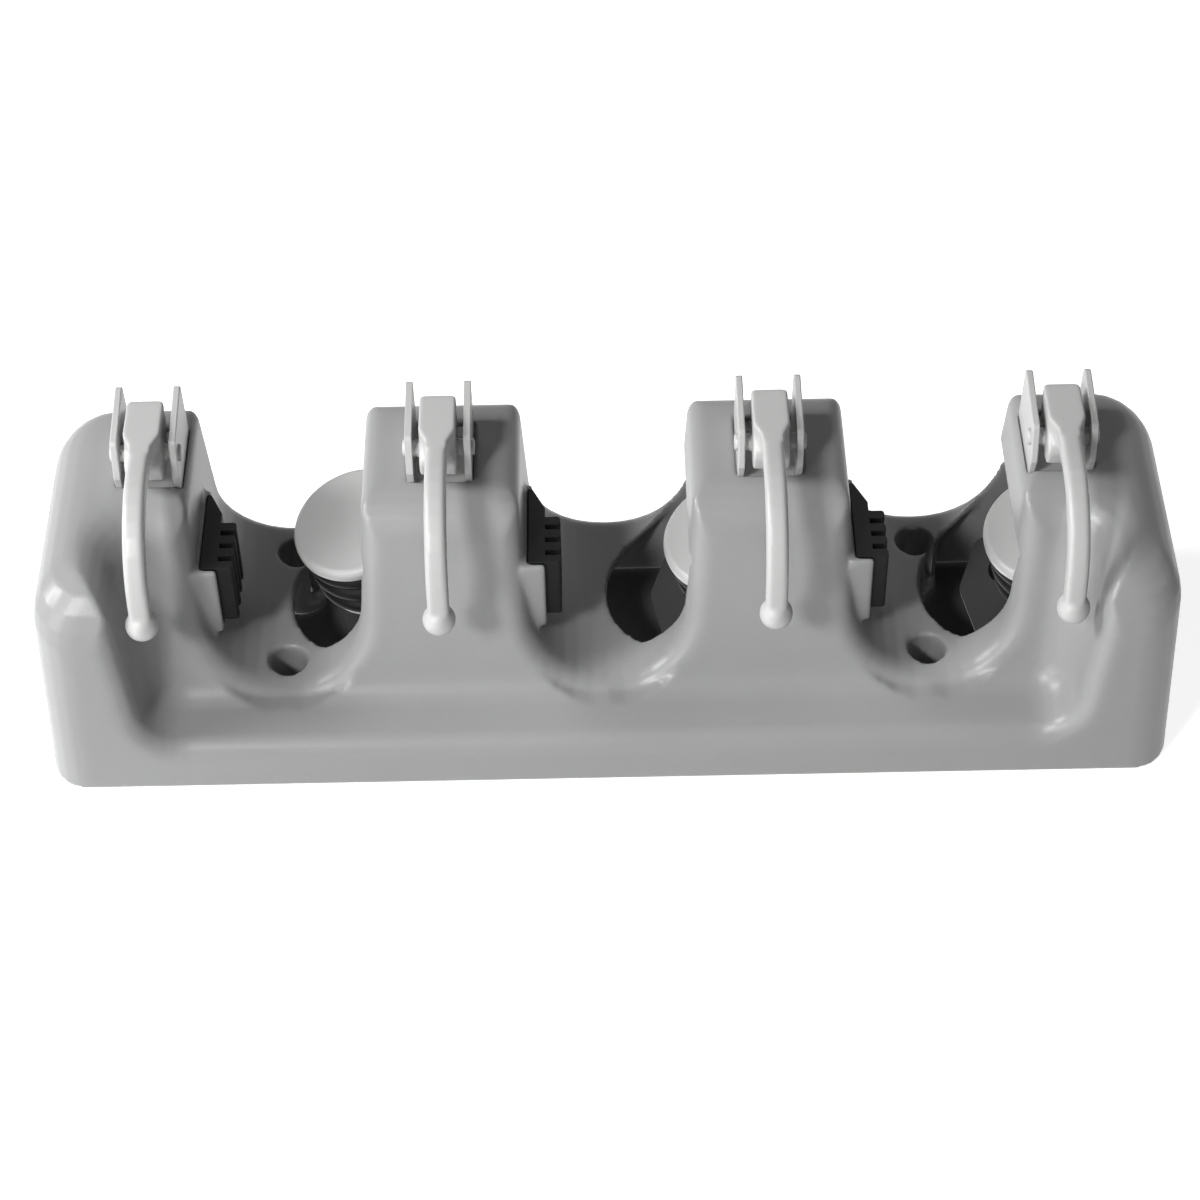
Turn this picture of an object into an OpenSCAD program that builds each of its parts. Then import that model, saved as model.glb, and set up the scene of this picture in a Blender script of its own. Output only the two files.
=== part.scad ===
// Wall rack for mop and broom handles, in millimetres
// X runs along the wall, Z is up, the wall is the plane Y = 0 and the rack stands out to -Y
// "depth" below always means the distance out from the wall

/* [Rack] */
// distance between neighbouring handle slots
slot_pitch = 76; // [75:0.5:78]
// room between a drawn-back roller and the rack's end
end_room = 12; // [11:0.5:14]
// how far the towers stand out from the wall
rack_depth = 62; // [61:0.5:64]
// top edge above the middle of the screw pattern
top_rise = 43.5; // [42:0.5:46]
// room between a roller at the end of its track and the rack's bottom
bottom_room = 0.4; // [0.3:0.1:1]
// thickness of the moulded wall
shell_wall = 2.4; // [2.3:0.1:2.5]
// how much each end leans in from the wall to the front
end_draft = 3; // [2:0.5:4]
// how much the bottom face rises from slot floor to front
bottom_draft = 5; // [4:0.5:5.5]

/* [Slots and recess] */
// width of a handle slot at its round floor
slot_width = 37; // [36.5:0.5:38]
// how much each slot wall leans out from the round floor to the front
slot_draft = 1.2; // [0.6:0.1:1.5]
// depth of the slot floor
floor_depth = 16; // [15:0.5:17]
// height of the tower front's upper edge
slope_start = 14; // [13:0.5:15]
// height where the tower top reaches the slot floor's depth
slope_end = 28; // [27:0.5:29]
// thickness of the lip along the wall
lip_depth = 12; // [11:0.5:13]
// width of an end cheek at the wall
cheek_width = 19.4; // [18:0.2:20.6]
// how much each end of the recess leans in from the front to the slot floor
recess_draft = 4; // [2:0.5:5]
// radius of the recess's inner corners
recess_round = 10; // [8:0.5:11]
// radius of the soft outer edges
edge_round = 4.5; // [4:0.5:4.5]
// radius of the recess's front edge, over the towers and along the cheeks
recess_edge = 9; // [7:0.5:10]
// radius of the slots' lower edges
under_round = 3.2; // [2.4:0.2:3.6]
// radius of the lower end corners
low_round = 13; // [12:0.5:14]
// radius of the tower front's corners
front_round = 4; // [3:0.5:5]
// radius of the front's end edges
end_round = 10; // [8:0.5:12]
// radius of the front's upper edge on the end cheeks
cheek_round = 15; // [12:0.5:16]

/* [Wall screws] */
// distance between the two screws of one slot
screw_rise = 36; // [35:0.5:37]
// screw hole diameter at the wall
screw_hole = 5; // [4:0.1:5.5]
// diameter of the sunk hole for the screw head
screw_sink = 9.2; // [8.5:0.1:9.6]
// thickness left under the screw head
screw_seat = 3; // [2.5:0.1:4]
// outer diameter of the screw tube
screw_tube = 12.6; // [12:0.1:12.8]

/* [Rollers] */
// roller cap diameter
cap_diameter = 31.2; // [30:0.2:31.2]
// roller length from the cap face to the hub's end
roller_length = 25.2; // [24.5:0.1:25.2]
// drawn-back cap face behind the tower front
cap_back = 22; // [21.5:0.1:22.5]
// room between the drawn-back cap and the tower's top
roof_gap = 0.4; // [0.3:0.1:0.8]
// drawn-back cap's middle in from the slot's wall, as a share of the tower's inner width
cap_share = 0.22; // [0.2:0.01:0.24]
// lean of the roller axis towards the slot
lean_slot = 14; // [13:0.5:15]
// lean of the roller axis upwards
lean_up = 10; // [9:0.5:10.5]
// fall of the track towards the slot
track_fall = 33; // [31:0.5:34]
// travel of a roller along its track
travel = 15.2; // [14.8:0.1:15.2]
// place of each roller on its track, from drawn back to the slot's end
rest_share = [0.97, 0, 0]; // [0:0.01:0.97]
// axle diameter
axle_diameter = 5; // [4.6:0.1:5.2]
// running clearance round a shaft
running_fit = 0.05; // [0.02:0.01:0.1]
// number of rings on the rubber sleeve
ring_count = 3; // [2:1:4]

/* [Grip pads] */
// pad height along the handle
pad_height = 24.6; // [23:0.2:25]
// top edge of the pad above the screw pattern's middle
pad_top = 16.6; // [16:0.1:17]
// depth of the pad's inner end
pad_inner = 28; // [27.6:0.1:29]
// depth of the pad's outer end
pad_outer = 46; // [45:0.5:47]
// thickness of the pad's plate
pad_plate = 4; // [3.5:0.1:4.2]
// how far the ribs stand off the plate
rib_height = 3.6; // [3:0.1:4]
// number of ribs on a pad
rib_count = 4; // [3:1:5]
// distance between ribs
rib_pitch = 4.2; // [3.8:0.1:4.4]

/* [Hooks] */
// outer hooks, beside the outer slots' edges
hook_inset = 9.3; // [9:0.1:10]
// width of the hook's block
hook_width = 8.4; // [8:0.1:9]
// width of the hook's arm
arm_width = 5; // [4.4:0.1:5.4]
// diameter of the ball tip
ball_diameter = 7.6; // [7:0.1:8]
// gap between the two ears of a bracket
ear_gap = 11.8; // [11.6:0.1:12.2]
// thickness of an ear
ear_wall = 1.6; // [1.4:0.1:1.8]
// how far the hook's pivot stands out from the tower front
pivot_out = 7; // [6.8:0.1:7.4]
// height of the hook's pivot
pivot_height = 1.6; // [1.4:0.1:2]
// pivot pin diameter
pivot_diameter = 4; // [3.6:0.1:4.2]

/* [Hidden] */
$fn = 64;

body_grey = [0.58, 0.58, 0.59];
light_grey = [0.76, 0.76, 0.76];
rubber_black = [0.08, 0.08, 0.08];
steel = [0.7, 0.7, 0.72];

slot_r = slot_width / 2;
slope_rate = (slope_end - slope_start) / (rack_depth - floor_depth);
slope_stretch = sqrt(1 + slope_rate * slope_rate);
bottom_rate = bottom_draft / (rack_depth - floor_depth);
ledge_rate = (floor_depth - lip_depth) / (top_rise - slope_end);
beyond = 60;
edge_steps = 5;
high_round = 9;
rim_share = 0.22;
under_share = 0.6;
cheek_corner = 8;

// roller, measured back from the cap face along its axis
cap_r = cap_diameter / 2;
cap_depth = rack_depth - cap_back;
cap_offset = slot_r + shell_wall + cap_share * (slot_pitch - 2 * slot_r - 2 * shell_wall);
cap_height = slope_start + (cap_back - cap_r * sin(lean_up)) * slope_rate - shell_wall * slope_stretch
  - cap_r * cos(lean_up) - roof_gap;
rest = travel * rest_share;
axle_r = axle_diameter / 2;
cap_wall = 3.2;
sleeve_length = 16;
sleeve_end = cap_wall + sleeve_length;
core_r = cap_r - 3;
ring_r = cap_r - 0.3;
end_play = 0.15;
shoe_flange = 1.5;
plate_wall = 2;
shoe_front = roller_length + end_play;
shoe_back = shoe_front + shoe_flange;
plate_front = shoe_back + end_play;
plate_back = plate_front + plate_wall;
head_front = plate_back + end_play;
head_wall = 1.5;
neck_r = 4;
slide_fit = 0.2;
hub_well = 6.6;
well_r = 6;
clip_wall = 0.8;
clip_place = hub_well - 0.2;
axle_end = 1.7;

shoe_r = 6.5;
axle_head_r = 5.5;
groove_depth = 0.5;
clip_edge = 1.4;
hub_foot_r = 8.5;
hub_rim = 1.4;
cap_lip = 1.4;
roller_gap = 0.3;
track_end = travel * [cos(track_fall), -sin(track_fall)];
roller_low = cap_height + track_end[1] * cos(lean_up) - sleeve_end * sin(lean_up) - ring_r;

// block round the rollers
bottom = roller_low - bottom_room - shell_wall;
half_length = slot_pitch + cap_offset + cap_r + end_room;
recess_half = half_length - cheek_width;

// plate fixing posts round the drawn-back roller: [angle, distance from its axis, length]
post_r = 3.6;
post_reach = cap_r + post_r + 1.5;
posts = [[122, post_reach, 36], [241, post_reach, 14], [54, post_reach + 6.5, 24]];
post_foot = 3;
plate_edge = 3.2;
plate_corner = 3;
plate_screw_r = 1.2;
plate_screw_length = 8;
plate_screw_fit = 0.3;
screw_head_r = 2.5;
screw_head_wall = 1.8;
drive_width = 0.6;
drive_depth = 0.8;

// opening in the slot wall that the roller reaches through
window_low = roller_low - roller_gap;
window_high = cap_height + cap_r - 1.2;
window_r = cap_r + track_end[0] / 2 + 2;
window_middle = cap_height + track_end[1] / 2;
window_reach = cap_offset + 7;
window_front = cap_depth + 6;

// grip pad and its seat, measured from the slot's middle
pad_back = slot_r - 0.3;
pad_face = pad_back - pad_plate;
pad_low = pad_top - pad_height;
pad_step = 1;
pad_cut = 6.4;
seat_wall = 1.6;
seat_fit = 0.1;
rib_wall = 2.6;
rib_edge = 0.8;
rib_root = 0.5;

// hooks and brackets
pivot_depth = rack_depth + pivot_out;
ear_inner = ear_gap / 2;
ear_outer = ear_inner + ear_wall;
ear_low = -15;
ear_high = 5.2;
web_front = rack_depth - shell_wall;
web_wall = 2;
web_sink = 0.8;
web_tab = 3;
web_back = web_front - web_sink - web_wall;
pivot_r = pivot_diameter / 2;
arm_wall = 4.4;
arm_depth = pivot_depth + 6;
arm_straight = 17;
arm_bend = 20;
arm_sweep = 85;
tip_reach = 7;
arm_steps = 8;
arm_foot = 6;
arm_round = 1.2;
hook_heel = 9.6;
pin_proud = 0.8;

// Small helpers

function unit(v) = v / norm(v);
function slot_x(k) = (2 - k) * slot_pitch;
function hook_x(j) = let (outer = slot_pitch + slot_r + slot_draft + hook_inset)
  [outer, slot_pitch / 2, -slot_pitch / 2, -outer][j - 1];
function slope_z(d) = slope_start + (rack_depth - d) * slope_rate;
function ledge_d(z) = lip_depth + (top_rise - z) * ledge_rate;
function recess_x(d) = recess_half + recess_draft * (d - rack_depth) / (rack_depth - floor_depth);

// a convex corner at b between a and c, rounded with radius r
function corner(a, b, c, r) =
  let (u = unit(a - b), v = unit(c - b), half = acos(u * v) / 2,
    middle = b + unit(u + v) * r / sin(half), start = b + u * r / tan(half), sweep = 180 - 2 * half,
    turn = u[0] * v[1] - u[1] * v[0] > 0 ? -1 : 1, arm = start - middle)
  [for (i = [0 : edge_steps]) let (t = turn * sweep * i / edge_steps)
    middle + [arm[0] * cos(t) - arm[1] * sin(t), arm[0] * sin(t) + arm[1] * cos(t)]];

// a convex outline of [x, y, radius] corners
function rounded(p) = let (n = len(p)) [for (i = [0 : n - 1])
  let (a = p[(i + n - 1) % n], b = p[i], c = p[(i + 1) % n], q = [b[0], b[1]])
  each b[2] > 0 ? corner([a[0], a[1]], q, [c[0], c[1]], b[2]) : [q]];

// profile in [depth, height], drawn out along the wall
module along_x(length) {
  rotate([90, 0, -90]) linear_extrude(length, center = true) children();
}

// profile in [x, depth], drawn out upwards both ways
module along_z(length) {
  rotate([180, 0, 0]) linear_extrude(length, center = true) children();
}

// profile in [x, height], drawn out from one depth to another
module outward(from, to) {
  translate([0, -from, 0]) rotate([90, 0, 0]) linear_extrude(to - from) children();
}

// solid through a row of loops that have the same number of points
module skin(loops) {
  n = len(loops[0]);
  last = len(loops) - 1;
  polyhedron(
    points = [for (loop = loops) each loop],
    faces = concat(
      [[for (j = [0 : n - 1]) j]],
      [for (i = [0 : last - 1]) for (j = [0 : n - 1]) let (m = (j + 1) % n)
        each [[i * n + j, (i + 1) * n + j, i * n + m], [i * n + m, (i + 1) * n + j, (i + 1) * n + m]]],
      [[for (j = [n - 1 : -1 : 0]) last * n + j]]));
}

// an opening's soft edge of radius r: [distance below the face, how far the opening has widened there]
function soft_edge(r) =
  [for (i = [0 : edge_steps]) let (t = 90 * i / edge_steps) r * [1 - sin(t), 1 - cos(t)]];

// Housing

// radius of the block's front edge where its outline faces the direction f
function front_edge(f, below) =
  end_round * pow(cos(f), 2) + (below ? edge_round : cheek_round) * pow(sin(f), 2);

// one outline of the block, drawn in by a wall thickness: t degrees round its front edges, or flat at a depth
function block_loop(inset, t, depth) =
  let (share = 1 - cos(t),
    x = half_length - inset - (end_round - inset) * share,
    low = bottom + inset + (edge_round - inset) * share,
    high = top_rise - inset - (cheek_round - inset) * share,
    low_r = low_round - inset - (edge_round - inset) * share,
    high_r = high_round - inset + (cheek_corner - high_round) * share)
  [for (q = [[-1, -1, 180], [1, -1, 270], [1, 1, 0], [-1, 1, 90]], i = [0 : edge_steps])
    let (f = q[2] + 90 * i / edge_steps, below = q[1] < 0, r = below ? low_r : high_r,
      d = is_undef(depth) ? rack_depth - inset - (front_edge(f, below) - inset) * (1 - sin(t)) : depth,
      narrow = 1 - end_draft * d / rack_depth / half_length,
      rise = below ? max(0, d - floor_depth) * bottom_rate : 0)
    [(q[0] * (x - r) + r * cos(f)) * narrow, -d, (below ? low + r : high - r) + r * sin(f) + rise]];

// outer block with soft front edges, drawn in by a wall thickness
module block(inset) {
  skin(concat(
    [block_loop(inset, 0, inset > 0 ? -1 : 0), block_loop(inset, 0, floor_depth)],
    [for (i = [0 : edge_steps]) block_loop(inset, 90 * i / edge_steps)]));
}

// handle slot in [x, depth], widened by o on its walls and by floor_share of that on its floor
function slot_loop(o, floor_share) =
  let (side = slot_r + slot_draft + o + front_round, out = rack_depth + beyond,
    back = rack_depth - front_round, turn = [for (i = [0 : edge_steps]) 90 - 90 * i / edge_steps])
  concat([[-side, out]],
    [for (t = turn) [-side, back] + front_round * [cos(t), sin(t)]],
    [for (i = [0 : 16]) let (t = -90 + 180 * i / 16, share = floor_share + (1 - floor_share) * abs(sin(t)))
      [0, floor_depth + slot_r] + (slot_r + o * share) * [sin(t), -cos(t)]],
    [for (i = [edge_steps : -1 : 0]) [side, back] + front_round * [-cos(turn[i]), sin(turn[i])]],
    [[side, out]]);

// handle slot with soft upper and lower edges
module slot_cut() {
  upper = soft_edge(edge_round);
  above = concat([[-edge_round, edge_round]], [for (i = [edge_steps : -1 : 0]) upper[i]]);
  below = concat(soft_edge(under_round), [[-under_round, under_round]]);
  skin(concat(
    [for (s = above) [for (p = slot_loop(s[1], rim_share))
      [p[0], -p[1], slope_z(p[1]) - s[0] * slope_stretch]]],
    [for (s = below) [for (p = slot_loop(s[1], under_share))
      [p[0], -p[1], bottom + (p[1] - floor_depth) * bottom_rate + s[0]]]]));
}

// recess above the towers, rounded where its faces meet
module recess_cut() {
  slope_out = unit([slope_rate, 1]);
  ledge_out = unit([1, ledge_rate]);
  along_slope = unit([1, -slope_rate]);
  along_ledge = unit([-ledge_rate, 1]);
  // where the ball that rounds the corner touches both faces
  bend = acos(slope_out * ledge_out) / 2;
  middle = [floor_depth, slope_end] + unit(slope_out + ledge_out) * recess_round / cos(bend);
  hull() for (side = [-1, 1], q = [middle, middle + 80 * along_slope, middle + beyond * along_ledge,
      middle + 80 * along_slope + beyond * along_ledge])
    translate([side * (recess_x(q[0]) - recess_round), -q[0], q[1]]) sphere(recess_round, $fn = 24);
}

// U outline of the recess's opening, in [x, height or depth], widened by o
function recess_loop(o, base) =
  let (side = recess_half - recess_round, r = recess_round + o, up = base + recess_round)
  concat([[-side - r, up + beyond]],
    [for (i = [0 : 6]) [-side, up] - r * [cos(15 * i), sin(15 * i)]],
    [for (i = [6 : -1 : 0]) [side, up] + r * [cos(15 * i), -sin(15 * i)]],
    [[side + r, up + beyond]]);

// a soft edge of radius r that starts inside the opening and ends outside the face
function edge_rows(r) = let (rim = soft_edge(r))
  concat([[r + 1, -0.5]], [for (i = [1 : edge_steps]) rim[i]], [[-3, r]]);

// soft edges where the recess opens to the front and to the top
module recess_edges() {
  front = edge_rows(recess_edge);
  top = edge_rows(edge_round);
  skin([for (s = front) let (d = rack_depth - s[0])
    [for (p = recess_loop(s[1], slope_z(d))) [p[0] * recess_x(d) / recess_half, -d, p[1]]]]);
  skin([for (i = [len(top) - 1 : -1 : 0]) let (s = top[i], z = top_rise - s[0])
    [for (p = recess_loop(s[1], ledge_d(z))) [p[0] * recess_x(p[1]) / recess_half, -p[1], z]]]);
}

// hollow behind the front, open at the wall
module cavity() {
  roof = shell_wall * slope_stretch;
  wall_r = slot_r + shell_wall;
  straight = rack_depth - floor_depth - slot_r;
  inner = floor_depth - shell_wall;
  far = rack_depth + beyond;
  front = rack_depth - shell_wall;
  bend = front - recess_edge / 3;
  low = slope_z(front) - roof - recess_edge / 3;
  turn = front - recess_edge * 0.55;
  difference() {
    block(shell_wall);
    for (k = [1 : 3]) translate([slot_x(k), -floor_depth - slot_r, 0]) along_z(4 * top_rise) {
      circle(wall_r);
      polygon([[-wall_r, 0], [wall_r, 0], [wall_r + slot_draft, straight], [wall_r + slot_draft, beyond],
        [-wall_r - slot_draft, beyond], [-wall_r - slot_draft, straight]]);
    }
    // room left for the recess, with its front corners cut off to keep the wall under the soft edges
    intersection() {
      along_x(2 * half_length) polygon([[far, low], [far, top_rise + 1], [lip_depth - shell_wall, top_rise + 1],
        [inner, slope_z(inner) - roof], [bend, slope_z(bend) - roof], [front, low]]);
      along_z(4 * top_rise) polygon([for (q = [[-1, 0, 0], [1, 0, 0], [1, turn, 0], [1, front, front - turn],
          [1, far, front - turn], [-1, far, front - turn], [-1, front, front - turn], [-1, turn, 0]])
        [q[0] * (recess_x(min(q[1], rack_depth)) + shell_wall + q[2]), q[1]]]);
    }
  }
}

// four wall screws, two in each outer slot
module at_wall_screws() {
  for (x = [-slot_pitch, slot_pitch], z = [-screw_rise / 2, screw_rise / 2])
    translate([x, 0, z]) rotate([90, 0, 0]) children();
}

// the roller's own frame: Z along its axis, the cap face at Z = 0, moved along the track
module at_roller(k, along) {
  translate([slot_x(k) - cap_offset, -cap_depth, cap_height]) rotate([90 - lean_up, 0, lean_slot])
    translate(along * [cos(track_fall), -sin(track_fall), 0]) children();
}

function post_place(i) = posts[i][1] * [cos(posts[i][0]), sin(posts[i][0])];

module at_post(i) {
  q = post_place(i);
  translate([q[0], q[1], -plate_front]) children();
}

// posts that the track plates are screwed to
module plate_posts() {
  intersection() {
    for (k = [1 : 3], i = [0 : 2]) at_roller(k, 0) at_post(i) {
      cylinder(r = post_r, h = posts[i][2]);
      // the lowest post stands on a foot
      if (i == 1) translate([-post_foot / 2, -2 * post_r, 0]) cube([post_foot, 2 * post_r, posts[i][2]]);
    }
    block(shell_wall / 2);
  }
}

// walled seat on the slot's side, open to the front
module pad_seat() {
  inner = pad_inner - seat_wall;
  low = pad_low - seat_fit;
  high = pad_top + seat_fit;
  into = slot_r + shell_wall / 2;
  outward(inner, pad_outer) translate([pad_back, low - seat_wall])
    square([into - pad_back, high - low + 2 * seat_wall]);
  outward(inner, pad_outer) translate([pad_face, high]) square([into - pad_face, seat_wall]);
  outward(inner, pad_outer) translate([pad_back - pad_step, low - seat_wall])
    square([into - pad_back + pad_step, seat_wall]);
  outward(inner, pad_inner) translate([pad_face, low - seat_wall / 2])
    square([into - pad_face, high - low + seat_wall]);
}

// room for the pad in the slot's wall
module pad_pocket() {
  outward(pad_inner, pad_outer + 1) translate([pad_face, pad_low - seat_fit])
    square([pad_back - pad_face, pad_height + 2 * seat_fit]);
}

module housing() {
  color(body_grey) union() {
    difference() {
      union() {
        difference() {
          block(0);
          cavity();
        }
        plate_posts();
        at_wall_screws() cylinder(d = screw_tube, h = floor_depth - 1);
      }
      for (k = [1 : 3]) translate([slot_x(k), 0, 0]) slot_cut();
      recess_cut();
      recess_edges();
      for (k = [1 : 3]) translate([slot_x(k), 0, 0]) {
        outward(screw_seat, window_front) intersection() {
          translate([-window_r, window_middle]) circle(window_r);
          translate([-window_reach, window_low]) square([window_reach, window_high - window_low]);
        }
        pad_pocket();
      }
      for (j = [1 : 4]) translate([hook_x(j), 0, 0]) outward(web_back - seat_fit, rack_depth + 1)
        translate([-ear_outer - seat_fit, ear_low - seat_fit])
          square([2 * (ear_outer + seat_fit), ear_high - ear_low + 2 * seat_fit]);
      at_wall_screws() {
        translate([0, 0, -1]) cylinder(d = screw_hole, h = floor_depth + 2);
        translate([0, 0, screw_seat]) cylinder(d = screw_sink, h = floor_depth);
      }
      for (k = [1 : 3], i = [0 : 2]) at_roller(k, 0) at_post(i)
        translate([0, 0, -1]) cylinder(r = plate_screw_r + running_fit, h = plate_screw_length + 1);
    }
    for (k = [1 : 3]) translate([slot_x(k), 0, 0]) pad_seat();
  }
}

// Grip pads

module grip_pad(k) {
  color(rubber_black) translate([slot_x(k), 0, 0]) union() {
    outward(pad_inner, pad_outer) polygon([[pad_back, pad_low], [pad_back, pad_top], [pad_face, pad_top],
      [pad_face, pad_low + pad_cut], [pad_back - pad_step, pad_low]]);
    for (i = [0 : rib_count - 1]) outward(pad_inner + pad_step, pad_outer)
      translate([pad_face - rib_height, pad_top - rib_wall - i * rib_pitch]) polygon(rounded([
        [0, 0, rib_edge], [rib_height + rib_root, 0, 0], [rib_height + rib_root, rib_wall, 0],
        [0, rib_wall, rib_edge]]));
  }
}

// Hooks, drawn folded up against the rack

module hook_bracket(j) {
  ear_outline = rounded([[web_back, ear_low, 0], [rack_depth, ear_low, 0],
    [pivot_depth + 8, ear_low + 1.8, 1.5], [pivot_depth + 5.5, pivot_height + 2.7, 1.5],
    [pivot_depth - 4, pivot_height + 4.6, 1], [rack_depth, ear_high, 0], [web_back, ear_high, 0]]);
  color(light_grey) translate([hook_x(j), 0, 0]) difference() {
    union() {
      for (side = [-1, 1]) translate([side * (ear_inner + ear_wall / 2), 0, 0])
        along_x(ear_wall) polygon(ear_outline);
      outward(web_back, web_back + web_wall) translate([-ear_outer, ear_low])
        square([2 * ear_outer, ear_high - ear_low]);
      // tabs that rest behind the tower's front
      for (z = [ear_low, ear_high]) outward(web_back, web_front) translate([-ear_inner, z - web_tab])
        square([ear_gap, 2 * web_tab]);
    }
    translate([0, -pivot_depth, pivot_height]) rotate([0, 90, 0])
      cylinder(r = pivot_r + running_fit, h = 3 * ear_gap, center = true);
  }
}

// places along the arm: [depth, height, angle of its front face]
arm_path = concat([[arm_depth, arm_foot, 0], [arm_depth, arm_straight, 0]],
  [for (i = [1 : arm_steps]) let (t = arm_sweep * i / arm_steps)
    [arm_depth - arm_bend * (1 - cos(t)), arm_straight + arm_bend * sin(t), t]]);
arm_end = arm_path[arm_steps + 1];
ball_middle = [arm_end[0], arm_end[1]] + tip_reach * [-sin(arm_sweep), cos(arm_sweep)];
arm_outline = rounded([for (q = [[-1, -1], [1, -1], [1, 1], [-1, 1]])
  [q[0] * arm_wall / 2, q[1] * arm_width / 2, arm_round]]);

// the arm's rounded section at one place
function arm_loop(q) = [for (p = arm_outline) [p[1], -q[0] - p[0] * cos(q[2]), q[1] + p[0] * sin(q[2])]];

module hook(j) {
  half = hook_width / 2;
  arm_half = arm_width / 2;
  heel = pivot_height - hook_heel;
  shoulder = pivot_height + 2.3;
  neck = shoulder + 4;
  // head seen from the front, in [x, height]
  head_front = rounded([[-half, heel, 1.6], [half, heel, 1.6], [half, shoulder, 0.8],
    [arm_half, neck, 0], [-arm_half, neck, 0], [-half, shoulder, 0.8]]);
  // head and knuckle seen from the side, in [depth, height] from the pivot
  head_side = rounded([[8.2, -hook_heel, 1.5], [8.2, 10, 0.5], [3.5, 10, 0.5], [1, -hook_heel, 1.5]]);
  knuckle_side = rounded([[4.5, -6, 1], [4.5, 4, 2], [1.5, 7.3, 2], [-3, 6.4, 2], [-4.6, 0, 2],
    [-2.5, -5, 1.5], [1.5, -7.5, 1]]);
  color(light_grey) translate([hook_x(j), 0, 0]) union() {
    intersection() {
      translate([0, -pivot_depth, pivot_height]) along_x(hook_width) polygon(head_side);
      outward(rack_depth, pivot_depth + hook_heel) union() {
        polygon(head_front);
        translate([-arm_half, shoulder]) square([arm_width, 6]);
      }
    }
    translate([0, -pivot_depth, pivot_height]) along_x(hook_width) polygon(knuckle_side);
    translate([0, -pivot_depth, pivot_height]) rotate([0, 90, 0])
      cylinder(r = pivot_r, h = 2 * (ear_outer + pin_proud), center = true);
    skin([for (q = concat(arm_path, [[ball_middle[0], ball_middle[1], arm_sweep]])) arm_loop(q)]);
    translate([0, -ball_middle[0], ball_middle[1]]) sphere(d = ball_diameter);
  }
}

// Tracks behind the rollers

module track_plate(k) {
  slot_half = neck_r + slide_fit;
  corners = [post_place(0) + plate_edge * [-1, 1], post_place(1) + plate_edge * [-1, -1],
    track_end + [6, -10.3], track_end + [12, 3.2], post_place(2) + plate_edge * [1, 1]];
  color(body_grey) at_roller(k, 0) translate([0, 0, -plate_back]) linear_extrude(plate_wall) difference() {
    polygon(rounded([for (q = corners) [q[0], q[1], plate_corner]]));
    rotate(-track_fall) {
      circle(slot_half);
      translate([travel, 0]) circle(slot_half);
      translate([0, -slot_half]) square([travel, 2 * slot_half]);
    }
    for (i = [0 : 2]) translate(post_place(i)) circle(plate_screw_r + plate_screw_fit);
  }
}

module plate_screws() {
  color(steel) for (k = [1 : 3], i = [0 : 2]) at_roller(k, 0) at_post(i) translate([0, 0, -plate_wall])
    difference() {
      union() {
        cylinder(r = plate_screw_r, h = plate_wall + plate_screw_length - 0.5);
        translate([0, 0, -screw_head_wall]) cylinder(r = screw_head_r, h = screw_head_wall);
      }
      for (turn = [0, 90]) rotate(turn) translate([0, 0, -screw_head_wall])
        cube([1.2 * screw_head_r, drive_width, 2 * drive_depth], center = true);
    }
}

module track_shoe(k) {
  color(light_grey) at_roller(k, rest[k - 1]) difference() {
    union() {
      translate([0, 0, -shoe_back]) cylinder(r = shoe_r, h = shoe_flange);
      translate([0, 0, -head_front]) cylinder(r = neck_r, h = head_front - shoe_front);
    }
    translate([0, 0, -head_front - 1]) cylinder(r = axle_r + running_fit, h = head_front - shoe_front + 2);
  }
}

module roller_axle(k) {
  color(steel) at_roller(k, rest[k - 1]) difference() {
    union() {
      translate([0, 0, -head_front - head_wall]) cylinder(r = axle_head_r, h = head_wall);
      translate([0, 0, -head_front]) cylinder(r = axle_r, h = head_front - cap_wall - axle_end);
    }
    translate([0, 0, -clip_place - running_fit]) difference() {
      cylinder(r = axle_r + 1, h = clip_wall + 2 * running_fit);
      translate([0, 0, -1]) cylinder(r = axle_r - groove_depth, h = clip_wall + 2);
    }
  }
}

module axle_clip(k) {
  mouth = axle_r - groove_depth - 0.3;
  color(steel) at_roller(k, rest[k - 1]) translate([0, 0, -clip_place]) linear_extrude(clip_wall)
    difference() {
      circle(well_r - clip_edge);
      circle(axle_r - groove_depth + running_fit);
      translate([0, -mouth]) square([well_r, 2 * mouth]);
    }
}

// Rollers

module roller_hub(k) {
  bore = axle_r + running_fit;
  rim = cap_r - hub_rim;
  color(light_grey) at_roller(k, rest[k - 1]) rotate_extrude() polygon([
    [bore, -roller_length], [hub_foot_r, -roller_length], [rim, -sleeve_end - 1], [rim, -sleeve_end],
    [core_r, -sleeve_end], [core_r, -cap_wall], [well_r, -cap_wall], [well_r, -hub_well], [bore, -hub_well]]);
}

module roller_sleeve(k) {
  pitch = sleeve_length / ring_count;
  bead = pitch / 2 - 0.35;
  color(rubber_black) at_roller(k, rest[k - 1]) rotate_extrude() difference() {
    union() {
      translate([core_r - 1, -sleeve_end + running_fit]) square([2.3, sleeve_length - 2 * running_fit]);
      for (i = [0 : ring_count - 1]) translate([ring_r - bead, -cap_wall - (i + 0.5) * pitch]) circle(bead);
    }
    translate([core_r - 5 + running_fit, -sleeve_end - 1]) square([5, sleeve_length + 2]);
  }
}

module roller_cap(k) {
  color(light_grey) at_roller(k, rest[k - 1]) rotate_extrude() {
    polygon(rounded([[0, -cap_wall, 0], [cap_r, -cap_wall, 0.6], [cap_r, 0, 1.8], [0, 0, 0]]));
    translate([well_r - 1, -cap_wall - cap_lip]) square([1 - running_fit, cap_lip + 0.1]);
  }
}

// Drawing

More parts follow.
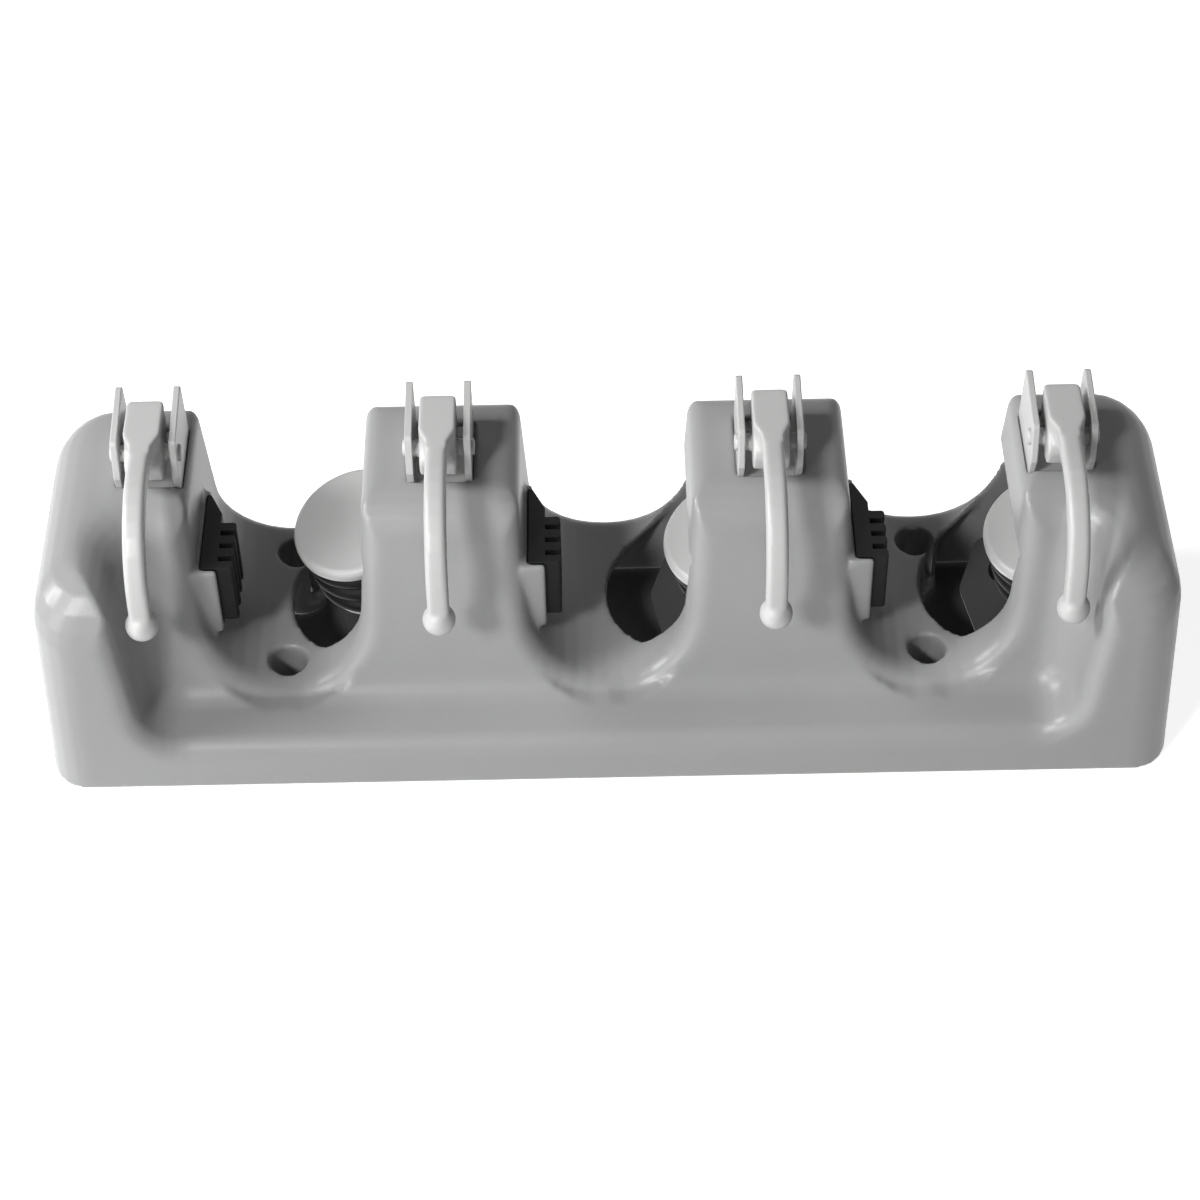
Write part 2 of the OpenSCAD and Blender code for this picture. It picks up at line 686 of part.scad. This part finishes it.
housing();
grip_pad(1);  // grip_pad_1
grip_pad(2);  // grip_pad_2
grip_pad(3);  // grip_pad_3
hook(1);  // hook_1
hook(2);  // hook_2
hook(3);  // hook_3
hook(4);  // hook_4
hook_bracket(1);  // hook_bracket_1
hook_bracket(2);  // hook_bracket_2
hook_bracket(3);  // hook_bracket_3
hook_bracket(4);  // hook_bracket_4
track_plate(1);  // track_plate_1
track_plate(2);  // track_plate_2
track_plate(3);  // track_plate_3
plate_screws();
track_shoe(1);  // track_shoe_1
track_shoe(2);  // track_shoe_2
track_shoe(3);  // track_shoe_3
roller_axle(1);  // roller_axle_1
roller_axle(2);  // roller_axle_2
roller_axle(3);  // roller_axle_3
axle_clip(1);  // axle_clip_1
axle_clip(2);  // axle_clip_2
axle_clip(3);  // axle_clip_3
roller_hub(1);  // roller_hub_1
roller_hub(2);  // roller_hub_2
roller_hub(3);  // roller_hub_3
roller_sleeve(1);  // roller_sleeve_1
roller_sleeve(2);  // roller_sleeve_2
roller_sleeve(3);  // roller_sleeve_3
roller_cap(1);  // roller_cap_1
roller_cap(2);  // roller_cap_2
roller_cap(3);  // roller_cap_3
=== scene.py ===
"""Looks of a wall rack for mop and broom handles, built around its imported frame, in metres."""
import math

import bmesh
import bpy
from mathutils import Matrix, Vector


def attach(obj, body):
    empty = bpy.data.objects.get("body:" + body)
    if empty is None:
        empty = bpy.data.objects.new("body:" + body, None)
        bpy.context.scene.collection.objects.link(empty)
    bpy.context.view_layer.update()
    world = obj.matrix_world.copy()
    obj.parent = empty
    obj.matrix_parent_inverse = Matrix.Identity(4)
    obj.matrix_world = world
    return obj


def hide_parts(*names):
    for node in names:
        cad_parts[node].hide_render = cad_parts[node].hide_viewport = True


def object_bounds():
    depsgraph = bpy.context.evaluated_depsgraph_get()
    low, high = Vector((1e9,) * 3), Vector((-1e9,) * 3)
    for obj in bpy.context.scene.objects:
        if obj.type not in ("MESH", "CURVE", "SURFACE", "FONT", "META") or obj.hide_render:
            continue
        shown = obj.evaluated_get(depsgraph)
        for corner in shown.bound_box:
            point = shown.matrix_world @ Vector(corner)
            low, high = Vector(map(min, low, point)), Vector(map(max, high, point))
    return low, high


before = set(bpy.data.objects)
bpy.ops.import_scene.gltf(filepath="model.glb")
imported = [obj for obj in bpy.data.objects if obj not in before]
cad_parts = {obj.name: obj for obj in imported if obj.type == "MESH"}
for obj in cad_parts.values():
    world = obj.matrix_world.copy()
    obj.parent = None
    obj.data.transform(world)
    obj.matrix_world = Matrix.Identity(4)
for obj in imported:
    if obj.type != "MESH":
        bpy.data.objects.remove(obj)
cad_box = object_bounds()

MM = 0.001
ROLLERS = 3
HOOKS = 4

# Camera, at the photograph's viewing angle: the rack lies on its back and its top edge is nearest
LENS = 88.5
SENSOR_WIDTH = 36
NEAREST_SEEN = 0.01
AIM = Vector((1.67, -24.9, 8.7)) * MM
DISTANCE = 702.8 * MM
VIEW_RISE = math.radians(43.7)
PICTURE_ROLL = math.radians(1.08)
TOWARD = Vector((0, -math.cos(VIEW_RISE), math.sin(VIEW_RISE)))
PICTURE_UP = Vector((0, -math.sin(VIEW_RISE), -math.cos(VIEW_RISE)))
PICTURE_RIGHT = Vector((-1, 0, 0))

# Studio lights: name, direction from the rack, width and power
LIGHT_DISTANCE = 1.2
LIGHTS = (
    ("key", Vector((1.3, -1, 0.15)), 0.35, 11.5),
    ("near", Vector((0.62, -1, 0.95)), 0.16, 7.5),
    ("low", Vector((0.9, -0.35, 0.9)), 0.4, 3.5),
    ("behind", Vector((0.5, 1, -0.3)), 0.8, 12),
)
WHITE = (1, 1, 1, 1)
WORLD_STRENGTH = 0.045

# The floor beside the rack and, with painted shade, under its hollow, and how much it is lifted to white
# for the camera
PALE_FLOOR = (0.82, 0.82, 0.82, 1)
# painted shade: dark grey for the floor under the rack, standing for its shade
FLOOR_PAINTED_SHADE = (0.1, 0.1, 0.1, 1)
FLOOR_LIFT = 0.85
FLOOR_SIZE = 6
FLOOR_GAP = 0.6 * MM

# How far the painted shade on the floor stays inside the low and the high corner of the rack's box
LOW_INSET = Vector((6, 0, 1)) * MM
HIGH_INSET = Vector((6, 0, 6)) * MM

# Finishes, linear colour
BODY_GREY = (0.30, 0.30, 0.303, 1)
LIGHT_GREY = (0.50, 0.50, 0.497, 1)
RUBBER_BLACK = (0.006, 0.006, 0.006, 1)
STEEL_GREY = (0.46, 0.46, 0.47, 1)
# painted shade: near-black for the track plates, standing for the shade inside the hollow behind the
# windows
PLATE_PAINTED_SHADE_GREY = (0.05, 0.05, 0.05, 1)

LOOKS = {
    "body_plastic": dict(colour=BODY_GREY, gloss=(0.31, 0.39), mottle=0.08,
                         grain_scale=1700, grain_depth=0.03 * MM, specular=0.4),
    # painted shade on the track plates, not a plastic of their own
    "plate_painted_shade": dict(colour=PLATE_PAINTED_SHADE_GREY, gloss=(0.4, 0.52), mottle=0.1,
                          grain_scale=2200, grain_depth=0.012 * MM, specular=0.3),
    "light_plastic": dict(colour=LIGHT_GREY, gloss=(0.32, 0.44), mottle=0.07,
                          grain_scale=2600, grain_depth=0.01 * MM),
    "rubber": dict(colour=RUBBER_BLACK, gloss=(0.5, 0.66), mottle=0.3,
                   grain_scale=1800, grain_depth=0.02 * MM, specular=0.2),
    "steel": dict(colour=STEEL_GREY, gloss=(0.24, 0.38), mottle=0.1,
                  grain_scale=3000, grain_depth=0.006 * MM, metallic=1.0),
}

# Noise of the fine grain and of the slow mottling, and the stretch of the mottling that turns the gloss
GRAIN_DETAIL = 3
GRAIN_ROUGHNESS = 0.5
MOTTLE_SCALE = 30
MOTTLE_DETAIL = 4
MOTTLE_ROUGHNESS = 0.55
NOISE_MIDDLE = 0.5
GLOSS_STRETCH = (0.2, 0.8)

# Joining of a solid's triangles, and the angle from which an edge is sharp
MERGE_GAP = 0.002 * MM
FLAT_ANGLE = math.radians(0.3)
SHARP_ANGLE = math.radians(38)

# Width of the rounded edges
ROUNDING_STEPS = 3
PAD_EDGE = 0.2 * MM
PLATE_EDGE = 0.2 * MM
SHOE_EDGE = 0.15 * MM
AXLE_EDGE = 0.15 * MM
CLIP_EDGE = 0.08 * MM
HUB_EDGE = 0.3 * MM
SLEEVE_EDGE = 0.15 * MM
CAP_EDGE = 0.2 * MM
BRACKET_EDGE = 0.3 * MM
SCREW_EDGE = 0.1 * MM

# Recasting of the housing and the hooks: cell, smoothing passes, and share of the faces that is kept
SMOOTHING_SHARE = 0.5
HOUSING_CELL = 0.6 * MM
HOUSING_PASSES = 8
HOUSING_KEPT = 0.24
HOOK_CELL = 0.3 * MM
HOOK_PASSES = 20


# Helpers for objects and shaders


def placed(name, content):
    """A new object of the scene, at the origin."""
    thing = bpy.data.objects.new(name, content)
    bpy.context.scene.collection.objects.link(thing)
    return thing


def turned(z_axis, up):
    """A turn whose own Z points along z_axis and whose Y is as near to up as it can be."""
    z = z_axis.normalized()
    x = up.cross(z).normalized()
    return Matrix((x, z.cross(x), z)).transposed().to_4x4()


def shader_node(tree, kind, **settings):
    """A new node of a tree, with its properties set."""
    node = tree.nodes.new(kind)
    for name, value in settings.items():
        setattr(node, name, value)
    return node


def worked_out(tree, operation, *terms, **settings):
    """The result of a math node whose terms are numbers or other nodes' sockets."""
    node = shader_node(tree, "ShaderNodeMath", operation=operation, **settings)
    for socket, term in zip(node.inputs, terms):
        if isinstance(term, bpy.types.NodeSocket):
            tree.links.new(term, socket)
        else:
            socket.default_value = term
    return node.outputs[0]


def noise(tree, scale, detail, roughness):
    """A noise on Object coordinates, whose scale comes from a socket."""
    place = shader_node(tree, "ShaderNodeTexCoord")
    texture = shader_node(tree, "ShaderNodeTexNoise", noise_dimensions="3D")
    texture.inputs["Detail"].default_value = detail
    texture.inputs["Roughness"].default_value = roughness
    tree.links.new(place.outputs["Object"], texture.inputs["Vector"])
    tree.links.new(scale, texture.inputs["Scale"])
    return texture.outputs["Fac"]


# Finishes


def moulded_grain():
    """A shader group with the fine grain, slow mottling and changing gloss of a moulded surface."""
    group = bpy.data.node_groups.new("moulded_grain", "ShaderNodeTree")
    for side, numbers in (("INPUT", ("Mottle", "Mottle Scale", "Grain Scale", "Gloss Low", "Gloss High")),
                          ("OUTPUT", ("Roughness", "Height"))):
        group.interface.new_socket("Colour", in_out=side, socket_type="NodeSocketColor")
        for number in numbers:
            group.interface.new_socket(number, in_out=side, socket_type="NodeSocketFloat")
    link = group.links.new
    given = shader_node(group, "NodeGroupInput").outputs
    result = shader_node(group, "NodeGroupOutput").inputs
    fine = noise(group, given["Grain Scale"], GRAIN_DETAIL, GRAIN_ROUGHNESS)
    slow = noise(group, given["Mottle Scale"], MOTTLE_DETAIL, MOTTLE_ROUGHNESS)
    # colour times one, give or take half the mottle
    centred = worked_out(group, "SUBTRACT", slow, NOISE_MIDDLE)
    tint = shader_node(group, "ShaderNodeVectorMath", operation="SCALE")
    link(given["Colour"], tint.inputs[0])
    link(worked_out(group, "MULTIPLY_ADD", centred, given["Mottle"], 1), tint.inputs["Scale"])
    link(tint.outputs[0], result["Colour"])
    gloss = shader_node(group, "ShaderNodeMapRange", interpolation_type="SMOOTHSTEP")
    gloss.inputs["From Min"].default_value, gloss.inputs["From Max"].default_value = GLOSS_STRETCH
    link(slow, gloss.inputs["Value"])
    link(given["Gloss Low"], gloss.inputs["To Min"])
    link(given["Gloss High"], gloss.inputs["To Max"])
    link(gloss.outputs[0], result["Roughness"])
    link(fine, result["Height"])
    return group


def moulded(name, grain_group, colour, gloss, mottle, grain_scale, grain_depth, specular=0.5, metallic=0.0):
    """A material of one moulded or rolled stuff, with its grain, mottling and gloss."""
    material = bpy.data.materials.new(name)
    material.use_nodes = True
    tree = material.node_tree
    shader = tree.nodes["Principled BSDF"]
    grain = shader_node(tree, "ShaderNodeGroup", node_tree=grain_group)
    values = {"Colour": colour, "Mottle": mottle, "Mottle Scale": MOTTLE_SCALE, "Grain Scale": grain_scale,
              "Gloss Low": gloss[0], "Gloss High": gloss[1]}
    for socket, value in values.items():
        grain.inputs[socket].default_value = value
    bump = shader_node(tree, "ShaderNodeBump")
    bump.inputs["Strength"].default_value = 1
    bump.inputs["Distance"].default_value = grain_depth
    tree.links.new(grain.outputs["Colour"], shader.inputs["Base Color"])
    tree.links.new(grain.outputs["Roughness"], shader.inputs["Roughness"])
    tree.links.new(grain.outputs["Height"], bump.inputs["Height"])
    tree.links.new(bump.outputs["Normal"], shader.inputs["Normal"])
    shader.inputs["Specular IOR Level"].default_value = specular
    shader.inputs["Metallic"].default_value = metallic
    return material


GRAIN = moulded_grain()
FINISHES = {name: moulded(name, GRAIN, **look) for name, look in LOOKS.items()}


# Pieces


def merged_copy(node, name, body, finish):
    """A copy of a solid with its triangles joined up, which rides on a body in the solid's place."""
    piece = placed(name, bpy.data.meshes.new(name))
    shape = bmesh.new()
    shape.from_mesh(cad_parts[node].data)
    bmesh.ops.remove_doubles(shape, verts=shape.verts, dist=MERGE_GAP)
    bmesh.ops.dissolve_limit(shape, angle_limit=FLAT_ANGLE, verts=shape.verts, edges=shape.edges)
    for face in shape.faces:
        face.material_index = 0
    shape.to_mesh(piece.data)
    shape.free()
    piece.data.shade_smooth()
    piece.data.set_sharp_from_angle(angle=SHARP_ANGLE)
    piece.data.materials.append(FINISHES[finish])
    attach(piece, body)
    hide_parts(node)
    return piece


def softened(node, name, body, slot, edge, finish=None):
    """A copy of a solid with its sharp edges rounded by the edge width."""
    piece = merged_copy(node, name, body, finish or slot)
    rounding = piece.modifiers.new("edge_round", "BEVEL")
    rounding.width = edge
    rounding.segments = ROUNDING_STEPS
    rounding.limit_method = "ANGLE"
    rounding.angle_limit = SHARP_ANGLE
    shading = piece.modifiers.new("even_shading", "WEIGHTED_NORMAL")
    shading.keep_sharp = True


def recast(node, name, body, slot, cell, passes, kept_share=1.0):
    """A copy of a solid cast anew in small cells and smoothed, so that its edges are soft all over."""
    piece = merged_copy(node, name, body, slot)
    casting = piece.modifiers.new("casting", "REMESH")
    casting.mode = "VOXEL"
    casting.voxel_size = cell
    casting.use_smooth_shade = True
    smoothing = piece.modifiers.new("smoothing", "SMOOTH")
    smoothing.factor = SMOOTHING_SHARE
    smoothing.iterations = passes
    if kept_share < 1:
        thinning = piece.modifiers.new("thinning", "DECIMATE")
        thinning.ratio = kept_share


recast("housing", "moulded_housing", "rack", "body_plastic", HOUSING_CELL, HOUSING_PASSES, HOUSING_KEPT)
for k in range(1, ROLLERS + 1):
    softened(f"grip_pad_{k}", f"ribbed_pad_{k}", "rack", "rubber", PAD_EDGE)
    # the record has the plates in the body's plastic, but here they are painted dark as painted shade, as
    # the windows in front of them look dark inside
    softened(f"track_plate_{k}", f"slotted_plate_{k}", "rack", "body_plastic", PLATE_EDGE, "plate_painted_shade")
    softened(f"track_shoe_{k}", f"sliding_shoe_{k}", f"slider_{k}", "light_plastic", SHOE_EDGE)
    softened(f"roller_axle_{k}", f"headed_axle_{k}", f"slider_{k}", "steel", AXLE_EDGE)
    softened(f"axle_clip_{k}", f"spring_clip_{k}", f"slider_{k}", "steel", CLIP_EDGE)
    softened(f"roller_hub_{k}", f"tapered_hub_{k}", f"roller_{k}", "light_plastic", HUB_EDGE)
    softened(f"roller_sleeve_{k}", f"ringed_sleeve_{k}", f"roller_{k}", "rubber", SLEEVE_EDGE)
    softened(f"roller_cap_{k}", f"domed_cap_{k}", f"roller_{k}", "light_plastic", CAP_EDGE)
for j in range(1, HOOKS + 1):
    softened(f"hook_bracket_{j}", f"eared_bracket_{j}", "rack", "light_plastic", BRACKET_EDGE)
    recast(f"hook_{j}", f"ball_tip_hook_{j}", f"hook_{j}", "light_plastic", HOOK_CELL, HOOK_PASSES)
softened("plate_screws", "cross_head_screws", "rack", "steel", SCREW_EDGE)


# Stage, lights and camera


def white_to_camera(tree):
    """One for the rays that see the background: from the camera, off gloss and through glass."""
    path = shader_node(tree, "ShaderNodeLightPath").outputs
    seen = worked_out(tree, "MAXIMUM", path["Is Camera Ray"], path["Is Glossy Ray"])
    return worked_out(tree, "MAXIMUM", seen, path["Is Transmission Ray"])


def under_rack(tree):
    """One where the hollow rack lies on the floor and the floor gets painted shade, and nought beside it.
    """
    low = cad_box[0] + LOW_INSET
    high = cad_box[1] - HIGH_INSET
    place = shader_node(tree, "ShaderNodeTexCoord")
    split = shader_node(tree, "ShaderNodeSeparateXYZ")
    tree.links.new(place.outputs["Object"], split.inputs[0])
    within = []
    for axis, least, most in (("X", low.x, high.x), ("Z", low.z, high.z)):
        middle = (least + most) / 2
        reach = (most - least) / 2
        within.append(worked_out(tree, "COMPARE", split.outputs[axis], middle, reach))
    return worked_out(tree, "MULTIPLY", *within)


def floor_paint():
    """Pale paint, with painted shade under the rack and white to the camera beside it."""
    material = bpy.data.materials.new("pale_sheet")
    material.use_nodes = True
    tree = material.node_tree
    tree.nodes.clear()
    link = tree.links.new
    shaded = under_rack(tree)
    # painted shade under the rack, mixed into the pale paint
    paint = shader_node(tree, "ShaderNodeMix", data_type="RGBA")
    paint.inputs["A"].default_value = PALE_FLOOR
    paint.inputs["B"].default_value = FLOOR_PAINTED_SHADE
    link(shaded, paint.inputs["Factor"])
    matt = shader_node(tree, "ShaderNodeBsdfDiffuse")
    link(paint.outputs["Result"], matt.inputs["Color"])
    # lifted to white for the camera, but not under the rack
    lifted = worked_out(tree, "MULTIPLY", white_to_camera(tree), FLOOR_LIFT)
    lift = shader_node(tree, "ShaderNodeEmission")
    link(worked_out(tree, "SUBTRACT", lifted, shaded, use_clamp=True), lift.inputs["Strength"])
    seen = shader_node(tree, "ShaderNodeAddShader")
    link(matt.outputs[0], seen.inputs[0])
    link(lift.outputs[0], seen.inputs[1])
    # see-through from behind, and under the rack for the light behind it
    path = shader_node(tree, "ShaderNodeLightPath")
    facing = shader_node(tree, "ShaderNodeNewGeometry")
    passing = worked_out(tree, "MULTIPLY", path.outputs["Is Shadow Ray"], shaded)
    clear = shader_node(tree, "ShaderNodeBsdfTransparent")
    pick = shader_node(tree, "ShaderNodeMixShader")
    link(worked_out(tree, "MAXIMUM", facing.outputs["Backfacing"], passing), pick.inputs["Fac"])
    link(seen.outputs[0], pick.inputs[1])
    link(clear.outputs[0], pick.inputs[2])
    output = shader_node(tree, "ShaderNodeOutputMaterial")
    link(pick.outputs[0], output.inputs["Surface"])
    return material


def pale_floor():
    """The sheet that the rack lies on with its back."""
    sheet = placed("floor", bpy.data.meshes.new("floor"))
    upright = Matrix.Translation((0, FLOOR_GAP, 0)) @ Matrix.Rotation(math.pi / 2, 4, "X")
    shape = bmesh.new()
    bmesh.ops.create_grid(shape, x_segments=1, y_segments=1, size=FLOOR_SIZE / 2, matrix=upright)
    shape.to_mesh(sheet.data)
    shape.free()
    sheet.data.materials.append(floor_paint())


def world_light():
    """Even light from all round, white where the camera looks past the floor."""
    world = bpy.data.worlds.new("studio")
    bpy.context.scene.world = world
    world.use_nodes = True
    tree = world.node_tree
    ground = tree.nodes["Background"]
    ground.inputs["Color"].default_value = WHITE
    level = shader_node(tree, "ShaderNodeMapRange")
    level.inputs["To Min"].default_value = WORLD_STRENGTH
    level.inputs["To Max"].default_value = 1
    tree.links.new(white_to_camera(tree), level.inputs["Value"])
    tree.links.new(level.outputs[0], ground.inputs["Strength"])


def soft_light(name, toward, width, power):
    """A square studio light that faces the rack."""
    lamp = bpy.data.lights.new(name, "AREA")
    lamp.shape = "SQUARE"
    lamp.size = width
    lamp.energy = power
    stand = Matrix.Translation(AIM + toward.normalized() * LIGHT_DISTANCE)
    placed(name, lamp).matrix_world = stand @ turned(toward, PICTURE_UP)


def photo_camera():
    """The camera of the photograph."""
    camera = bpy.data.cameras.new("camera")
    camera.lens = LENS
    camera.sensor_width = SENSOR_WIDTH
    camera.clip_start = NEAREST_SEEN
    up = PICTURE_UP * math.cos(PICTURE_ROLL) + PICTURE_RIGHT * math.sin(PICTURE_ROLL)
    taker = placed("camera", camera)
    taker.matrix_world = Matrix.Translation(AIM + TOWARD * DISTANCE) @ turned(TOWARD, up)
    bpy.context.scene.camera = taker


pale_floor()
world_light()
for light in LIGHTS:
    soft_light(*light)
photo_camera()
bpy.context.scene.view_settings.view_transform = "Standard"
